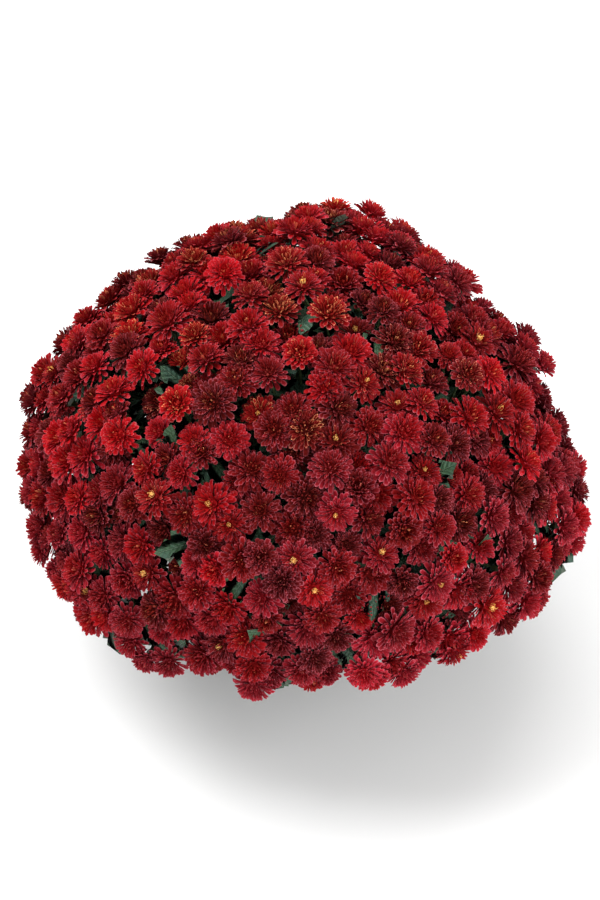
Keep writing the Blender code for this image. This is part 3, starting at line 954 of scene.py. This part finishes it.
# A bloom of this plant is a full double flower, 30 to 38 mm across, held by its calyx. Its petals
# stand in one tight spiral on a small disc: broad and spread flat outside, and ever shorter,
# narrower and more upright towards the middle, where some blooms show the gold of their disc.
BLOOM_RADIUS = 0.0182
PETALS = 118
PETAL_SEED = 33
DISC_RADIUS = 0.0034
DISC_HEIGHT = 0.0048
DISC_FLATNESS = 0.7
DISC_SIDES = 6
DISC_PARTS = 3
ROOTS_RADIUS = 0.0062
ROOTS_HEIGHT = 0.0030
SPIRAL_POWER = 0.58
BEARING_JITTER = 0.11
PETAL_WIDTHS = (0.0016, 0.0041)
BROADER_OUTSIDE = 1.9
PETAL_BREADTHS = (0.85, 1.10)
PETAL_THICKNESS = 0.00040
PETAL_ROLL = 0.45
PETAL_SWAY = 0.0010
HOLLOW = 0.30
ROOT_RISE = 0.0012
KNEE = 0.48
TIP_RISE = 0.0125
RISE_POWER = 2.8
TIP_DIP = 0.0015
DIP_POWER = 4
CUPPING = 1.2
TIP_OUT = (-0.0016, 0.0008)
TIP_UP = (-0.0015, 0.0015)
OUTER_LEAN = 105
LEAN_JITTER = 16
OUTER_DROOP = 0.0045
DROOP_FROM = 0.84
STREAK_SHIFT = 37

# The gold florets are marked with a share past any petal's. They stand over a gold dome.
GOLD = 2.0
GOLD_WIDTH = 0.0016
GOLD_WIDTHS = (0.8, 1.5)
GOLD_TOP = 0.0112
GOLD_TOPS = (0.80, 1.0)
GOLD_REACH = 0.0092
GOLD_ROOT = 0.6
GOLD_KNEE = 1.3
GOLD_TIP = 0.002
GOLD_DOME_REACH = 0.9
GOLD_DOME_TOP = 0.68

# The stages of a bloom: how far it has spread, how many of its petals are gold florets, and how
# far the tips of its inner petals curl over the middle, in degrees.
SPREADS = (1.00, 0.97, 1.02, 0.94, 0.99, 0.88, 1.03, 0.80)
GOLD_MIDDLES = (0, 0, 9, 0, 0, 0, 15, 0)
CURLS = (-50, -42, -32, -60, -50, -55, -22, -70)

# A petal's width from its root to its tip, in shares of its length and of its full width: a
# broad one outside, a slimmer one further in and a short tongue in the middle.
BROAD = ((0, 0), (0.38, 0.62), (0.78, 1.0), (0.94, 0.82), (1, 0))
SLIM = ((0, 0), (0.48, 0.62), (0.88, 1.0), (1, 0))
TONGUE = ((0, 0), (0.88, 1.0), (1, 0))
PETAL_FORMS = ((0.84, BROAD), (0.14, SLIM), (0.0, TONGUE))

# Petal colours, each pair from dark to bright: of cooler and warmer blooms, and of the copper on
# inner petals and in golden patches. Then the pale rim, partly the petals' own paler margin and
# partly a painted sheen, the back, the faint streaks and the gold florets. A petal's tone is mostly
# its bloom's, with a small share of its own.
COOL_REDS = ((0.078, 0.0045, 0.0050), (0.445, 0.0125, 0.0270))
WARM_REDS = ((0.075, 0.005, 0.004), (0.475, 0.004, 0.008))
COPPERS = ((0.400, 0.040, 0.020), (1.0, 0.400, 0.160))
PALE_RIM_AND_SHEEN = (0.560, 0.130, 0.170)
DARK_BACK = (0.290, 0.020, 0.032)
STREAK_SHADES = ((0.80, 0.76, 0.76), (1.0, 1.0, 1.0))
GOLDS = ((0.72, 0.30, 0.045), (1.0, 0.68, 0.24))
OWN_TONE = 0.16
STREAK_STRETCH = (8.0, 1.0, 1.0)


def petal_curve(share, spread, curl, rng):
    """The root, knee and tip of a petal, as (outwards, upwards) from the calyx."""
    reach = share**SPIRAL_POWER
    root = Vector((DISC_RADIUS * reach, DISC_HEIGHT + ROOT_RISE * (1 - reach)))
    rise = TIP_RISE * (1 - reach**RISE_POWER) - TIP_DIP * (1 - reach) ** DIP_POWER
    tip = Vector((BLOOM_RADIUS * reach * spread, DISC_HEIGHT + rise))
    tip.y += BLOOM_RADIUS * reach * (1 - spread) * CUPPING
    tip.x += rng.uniform(*TIP_OUT)
    droop = OUTER_DROOP * max(0, reach - DROOP_FROM) / (1 - DROOP_FROM)
    tip.y += rng.uniform(*TIP_UP) - droop * rng.random()
    lean = curl + (OUTER_LEAN - curl) * reach + rng.uniform(-LEAN_JITTER, LEAN_JITTER)
    end_way = Vector((math.sin(math.radians(lean)), math.cos(math.radians(lean))))
    knee = tip - end_way * (tip - root).length * KNEE
    return root, knee, tip


def place_on_petal(curve, along, across, up):
    """Where a point of a flat petal goes, as (outwards, sideways, upwards)."""
    root, knee, tip = curve
    rest = 1 - along
    point = root * rest * rest + knee * 2 * rest * along + tip * along * along
    way = ((knee - root) * rest + (tip - knee) * along).normalized()
    return Vector((point.x - way.y * up, across, point.y + way.x * up))


def add_petal(shape, bearing, curve, width, share, rng):
    """Shapes a small three-sided sphere into one petal: its keel below, its hollow face above."""
    form = next(form for start, form in PETAL_FORMS if share >= start)
    parts = len(form) - 1
    made = bmesh.ops.create_uvsphere(shape, u_segments=3, v_segments=parts, radius=1)["verts"]
    marks = shape.verts.layers.float_color["petal"]
    tones = shape.verts.layers.float_vector["tone"]
    grain = shape.loops.layers.uv["along_petal"]
    turn = Matrix.Rotation(bearing, 3, "Z")
    roll = rng.uniform(-PETAL_ROLL, PETAL_ROLL)
    sway = rng.uniform(-PETAL_SWAY, PETAL_SWAY) * (0.4 + share)
    tone = rng.random()
    flat = {}
    for vert in made:
        k = round(math.acos(max(-1, min(1, -vert.co.z))) / math.pi * parts)
        along, breadth = form[k]
        side, face = 0.0, 0.0
        if 0 < k < parts:
            ring = math.sin(math.pi * k / parts)
            side = vert.co.x / ring / math.sin(2 * math.pi / 3)
            face = -vert.co.y / ring
        across = side * width / 2 * breadth
        up = face * PETAL_THICKNESS / 2 + abs(across) * HOLLOW + across * roll
        vert[marks] = (along, side * 0.5 + 0.5, (1 - face) / 2, share)
        vert[tones] = (tone, 0, 0)
        vert.co = turn @ place_on_petal(curve, along, across + sway * along * along, up)
        flat[vert] = (side * 0.5 + tone * STREAK_SHIFT, along)
    for face in {face for vert in made for face in vert.link_faces}:
        for loop in face.loops:
            loop[grain].uv = flat[loop.vert]


def new_flower():
    """An empty shape with the marks that petals carry."""
    shape = bmesh.new()
    shape.verts.layers.float_color.new("petal")
    shape.verts.layers.float_vector.new("tone")
    shape.loops.layers.uv.new("along_petal")
    return shape


def add_disc(shape, radius, height, kind):
    """A rounded disc of packed petal roots, or of packed florets where the kind is GOLD."""
    flattened = Matrix.Diagonal((radius, radius, radius * DISC_FLATNESS, 1))
    made = bmesh.ops.create_uvsphere(
        shape,
        u_segments=DISC_SIDES,
        v_segments=DISC_PARTS,
        radius=1,
        matrix=Matrix.Translation((0, 0, height)) @ flattened,
    )
    marks = shape.verts.layers.float_color["petal"]
    for vert in made["verts"]:
        vert[marks] = (0.5, 0.5, 0, kind)


def add_floret(shape, bearing, share, rng):
    """One short gold floret of the disc, shaped as a small petal and marked as gold."""
    out = GOLD_REACH * share**SPIRAL_POWER
    top = DISC_HEIGHT + GOLD_TOP * rng.uniform(*GOLD_TOPS)
    points = ((out * GOLD_ROOT, DISC_HEIGHT), (out * GOLD_KNEE, top - GOLD_TIP), (out, top))
    curve = [Vector(point) for point in points]
    before = len(shape.verts)
    add_petal(shape, bearing, curve, GOLD_WIDTH * rng.uniform(*GOLD_WIDTHS), share, rng)
    marks = shape.verts.layers.float_color["petal"]
    for vert in shape.verts[before:]:
        vert[marks] = (vert[marks][0], 0.5, 0, GOLD)


def flower_mesh(stage, rng):
    """A whole flower at this stage, its calyx at the origin and its top along +Z."""
    shape = new_flower()
    spread, curl, florets = SPREADS[stage], CURLS[stage], GOLD_MIDDLES[stage]
    narrow, broad = PETAL_WIDTHS
    start = rng.uniform(0, 2 * math.pi)
    for i in range(PETALS):
        share = (i + 0.5) / PETALS
        bearing = start + i * GOLDEN_ANGLE + rng.uniform(-BEARING_JITTER, BEARING_JITTER)
        if i < florets:
            add_floret(shape, bearing, share, rng)
            continue
        width = narrow + (broad - narrow) * share**BROADER_OUTSIDE * rng.uniform(*PETAL_BREADTHS)
        add_petal(shape, bearing, petal_curve(share, spread, curl, rng), width, share, rng)
    add_disc(shape, ROOTS_RADIUS, DISC_HEIGHT + ROOTS_HEIGHT, 0)
    if florets:
        radius = GOLD_REACH * (florets / PETALS) ** SPIRAL_POWER * GOLD_DOME_REACH
        add_disc(shape, radius, DISC_HEIGHT + GOLD_TOP * GOLD_DOME_TOP, GOLD)
    bmesh.ops.recalc_face_normals(shape, faces=shape.faces)
    return as_mesh("flower", shape)


def petal_surface():
    look = Surface("red_petals", 0.6, Specular_IOR_Level=0.03)
    marks = look.node("ShaderNodeAttribute", {"attribute_name": "petal"})
    parts = look.node("ShaderNodeSeparateColor", Color=marks.outputs["Color"])
    along, across, reverse = (parts.outputs[name] for name in ("Red", "Green", "Blue"))
    out = look.times(look.math("ABSOLUTE", look.math("SUBTRACT", across, 0.5), 0.0), 2.0)
    rim = look.math("MAXIMUM", look.ramp(out, 0.60, 1.0), look.ramp(along, 0.88, 1.0))
    share = marks.outputs["Alpha"]
    tones = look.node("ShaderNodeAttribute", {"attribute_name": "tone"}).outputs["Vector"]
    own, bloom_tone, warmth = look.node("ShaderNodeSeparateXYZ", Vector=tones).outputs
    shared = look.times(bloom_tone, 1 - OWN_TONE)
    tone = look.math("ADD", look.times(own, OWN_TONE), shared)
    grain_map = look.node("ShaderNodeUVMap", {"uv_map": "along_petal"}).outputs["UV"]
    stretched = look.node("ShaderNodeMapping", Vector=grain_map)
    stretched.inputs["Scale"].default_value = STREAK_STRETCH
    streak = look.noise(1.0, 3, vector=stretched.outputs["Vector"])
    inside = look.ramp(share, 0.40, 0.10)

    # The faces are cooler low on the dome and on outer petals, and warmer above and inside. The
    # warmth that follows the way a bloom faces, up and away from the right, is painted warm light.
    sunny = look.math("ADD", warmth, look.ramp(share, 0.25, 1.0, 0.30, -0.25))
    cool, warm = (look.mix(tone, *reds) for reds in (COOL_REDS, WARM_REDS))
    face = look.mix(look.ramp(sunny, 0.0, 0.65), cool, warm)

    # Rims are pale, or copper on inner petals and in golden patches. The pale rim is partly the
    # petals' own margin and partly a painted sheen, stronger on cooler blooms and in golden patches.
    # Backs are darker.
    golden = look.times(look.ramp(warmth, 1.02, 1.30), look.ramp(share, 1.0, 0.5, 0.2, 0.9))
    glow = look.times(inside, look.ramp(warmth, 0.15, 0.85, 0.18, 0.9))
    gilt = look.math("ADD", own, look.times(golden, 0.14))
    copper = look.mix(look.ramp(gilt, 0.76, 1.0), *COPPERS)
    coppered = look.math("MAXIMUM", golden, glow)
    lit = look.times(golden, 0.35)
    lit = look.math("ADD", lit, look.ramp(warmth, 0.55, 0.0, 0.0, 0.16))
    paleness_and_sheen = look.math("ADD", look.ramp(own, 0.0, 1.0, 0.10, 0.70), lit)
    edge = look.mix(coppered, PALE_RIM_AND_SHEEN, copper)
    face = look.mix(look.times(rim, paleness_and_sheen), face, edge)
    back = look.mix(coppered, DARK_BACK, copper)
    back = look.mix(look.ramp(streak, 0.40, 0.62), look.mix(0.75, back, face), back)
    petal = look.mix(look.ramp(reverse, 0.45, 0.80), face, back)

    # Faint streaks run along each petal, and its root is darkened by painted shade.
    streaks = look.mix(look.ramp(streak, 0.35, 0.65), *STREAK_SHADES)
    petal = look.mix(0.7, petal, streaks, "MULTIPLY")
    depth = look.ramp(along, 0.20, 0.80, 0.66, 1.0)
    painted_root_shade = look.node("ShaderNodeCombineColor", Red=depth, Green=depth, Blue=depth).outputs["Color"]
    petal = look.mix(1.0, petal, painted_root_shade, "MULTIPLY")
    gold = look.mix(look.ramp(look.noise(1500, 2), 0.4, 0.6), *GOLDS)
    look.bump(streak, 0.0002, 0.6)
    return look.colour(look.mix(look.ramp(share, 1.4, 1.6), petal, gold))


red_petals = petal_surface()
petal_rng = random.Random(PETAL_SEED)
flowers = [flower_mesh(stage, petal_rng) for stage in range(len(STAGE_SHARES))]
for n, members in sprays.items():
    shape = new_flower()
    for bloom in members:
        flower = flowers[bloom.stage].copy()
        tones = np.empty(len(flower.vertices) * 3, np.float32)
        flower.attributes["tone"].data.foreach_get("vector", tones)
        tones[1::3] = bloom.tone
        tones[2::3] = bloom.warmth
        flower.attributes["tone"].data.foreach_set("vector", tones)
        grow = Matrix.Scale(bloom.size, 4)
        flower.transform(Matrix.Translation(bloom.foot) @ facing(bloom.axis, bloom.spin) @ grow)
        shape.from_mesh(flower)
        bpy.data.meshes.remove(flower)
    new_piece("blooms_open_" + n, shape, red_petals, "blooms_" + n, smooth_under=60)


# The floor, the light and the camera: a pale floor, big soft lamps high on the left, on the
# right, low in front and behind, and a long lens that looks down on the dome.
CAMERA_HEIGHT_ANGLE = math.radians(42)
CAMERA_AWAY = 1.9
CAMERA_TARGET = Vector((0, 0, 0.192))
FOCAL_PIXELS = 2300
PHOTO_LONG_SIDE = 900
SENSOR = 36.0
FLOOR_RADIUS = 1.9
FLOOR_SIDES = 96
FLOOR_GREYS = ((0.86, 0.86, 0.86), (0.89, 0.89, 0.885))

# The room is full white from just below the horizon down, and dimmer overhead.
SKY_HEIGHTS = (-0.02, 0.35)
SKY_STRENGTHS = (1.0, 0.55)

# Each soft lamp's place, power and width.
LAMPS = {
    "key": ((-1.2, 0.15, 2.0), 44, 1.2),
    "fill": ((1.7, -1.1, 0.9), 37, 2.0),
    "low": ((0.6, -1.9, 0.4), 19, 1.8),
    "back": ((0.3, 1.2, 2.4), 32, 1.8),
}


def floor_surface():
    look = Surface("pale_floor", 0.9, Specular_IOR_Level=0.2)
    return look.colour(look.mix(look.noise(3, 2), *FLOOR_GREYS))


floor_shape = bmesh.new()
bmesh.ops.create_circle(floor_shape, cap_ends=True, segments=FLOOR_SIDES, radius=FLOOR_RADIUS)
floor = put("floor", as_mesh("floor", floor_shape))
floor.data.materials.append(floor_surface())

world = bpy.data.worlds.new("studio")
world.use_nodes = True
sky = world.node_tree.nodes.new("ShaderNodeTexCoord")
height = world.node_tree.nodes.new("ShaderNodeSeparateXYZ")
shades = world.node_tree.nodes.new("ShaderNodeMapRange")
for socket, value in zip(("From Min", "From Max", "To Min", "To Max"), SKY_HEIGHTS + SKY_STRENGTHS):
    shades.inputs[socket].default_value = value
background = world.node_tree.nodes["Background"]
background.inputs["Color"].default_value = (1.0, 1.0, 1.0, 1)
world.node_tree.links.new(sky.outputs["Generated"], height.inputs["Vector"])
world.node_tree.links.new(height.outputs["Z"], shades.inputs["Value"])
world.node_tree.links.new(shades.outputs["Result"], background.inputs["Strength"])
bpy.context.scene.world = world


def soft_lamp(name, place, energy, size):
    """A square lamp that shines on the dome."""
    light = bpy.data.lights.new(name, "AREA")
    light.energy = energy
    light.size = size
    lamp = put(name, light)
    lamp.location = place
    lamp.rotation_euler = (CAMERA_TARGET - Vector(place)).to_track_quat("-Z", "Y").to_euler()


for lamp_name, (place, energy, size) in LAMPS.items():
    soft_lamp(lamp_name, place, energy, size)

lens = bpy.data.cameras.new("camera")
lens.sensor_width = SENSOR
lens.lens = FOCAL_PIXELS / PHOTO_LONG_SIDE * SENSOR
camera = put("camera", lens)
aim = Vector((0, math.cos(CAMERA_HEIGHT_ANGLE), -math.sin(CAMERA_HEIGHT_ANGLE)))
camera.location = CAMERA_TARGET - aim * CAMERA_AWAY
camera.rotation_euler = aim.to_track_quat("-Z", "Y").to_euler()
bpy.context.scene.camera = camera
bpy.context.scene.view_settings.view_transform = "Standard"
